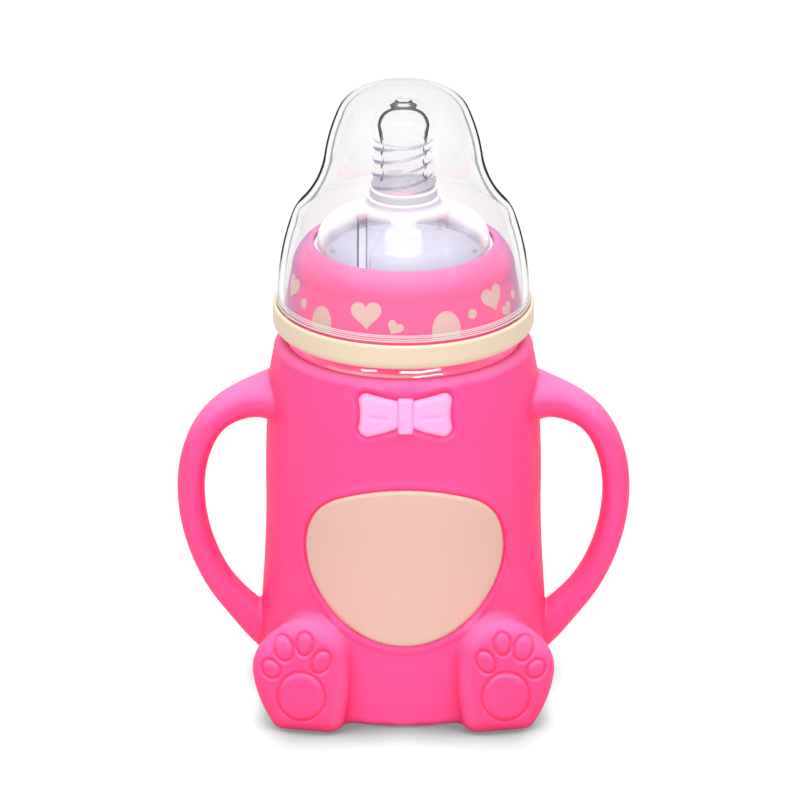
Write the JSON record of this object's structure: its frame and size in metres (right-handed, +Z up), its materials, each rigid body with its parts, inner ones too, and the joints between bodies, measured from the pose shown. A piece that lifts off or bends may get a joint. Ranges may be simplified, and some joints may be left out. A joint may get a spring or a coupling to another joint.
{
  "type": "baby bottle",
  "caption": "Wide-neck glass feeding bottle in a soft bear sleeve with loop handles, a screw collar, a ribbed nipple with a weighted straw and a clear dome.",
  "frame": {"origin": "centre of the sleeve's flat base, on the table plane", "axes": "+Z up along the bottle's axis; -Y is the front with the belly patch and bow; the handles lie along X"},
  "size_m": [0.1164, 0.0802, 0.1605],
  "materials": {
    "sleeve_silicone": "satin pink silicone",
    "belly_silicone": "satin peach silicone",
    "bow_silicone": "satin light pink silicone",
    "bottle_glass": "clear polished borosilicate glass",
    "clear_silicone": "clear satin silicone",
    "white_plastic": "white moulded polypropylene",
    "steel": "turned stainless steel",
    "collar_plastic": "glossy pink moulded polypropylene with a printed band",
    "cream_plastic": "glossy cream moulded polypropylene",
    "clear_plastic": "clear polished polypropylene"
  },
  "bodies": {
    "sleeve": {"silicone_sleeve": "sleeve_silicone", "belly_patch": "belly_silicone", "bow_tie": "bow_silicone"},
    "bottle": {"glass_bottle": "bottle_glass"},
    "nipple_unit": {"adapter_gasket": "clear_silicone", "straw_adapter": "white_plastic", "nipple": "clear_silicone"},
    "straw": {"straw_tube": "clear_silicone", "weight_cap": "white_plastic", "weight_cage": "white_plastic", "steel_weight": "steel"},
    "collar": {"screw_collar": "collar_plastic", "collar_base_ring": "cream_plastic"},
    "cap": {"dome_cap": "clear_plastic"}
  },
  "joints": [
    {"name": "bottle_lift", "type": "slide", "parent": "sleeve", "child": "bottle", "axis": [0, 0, 1], "range_m": [0, 0.1]},
    {"name": "nipple_lift", "type": "slide", "parent": "bottle", "child": "nipple_unit", "axis": [0, 0, 1], "range_m": [0, 0.005]},
    {"name": "collar_turn", "type": "hinge", "parent": "nipple_unit", "child": "collar", "pos_m": [0, 0, 0.11], "axis": [0, 0, 1], "range_deg": [0, 450]},
    {"name": "cap_lift", "type": "slide", "parent": "collar", "child": "cap", "axis": [0, 0, 1], "range_m": [0, 0.075]},
    {"name": "straw_swing", "type": "hinge", "parent": "nipple_unit", "child": "straw", "pos_m": [0, 0, 0.1055], "axis": [1, 0, 0], "range_deg": [-10, 10], "deforming": ["straw_tube"]}
  ],
  "couplings": [
    {"joint": "nipple_lift", "follows": "collar_turn", "m_per_rad": 0.0006366}
  ]
}
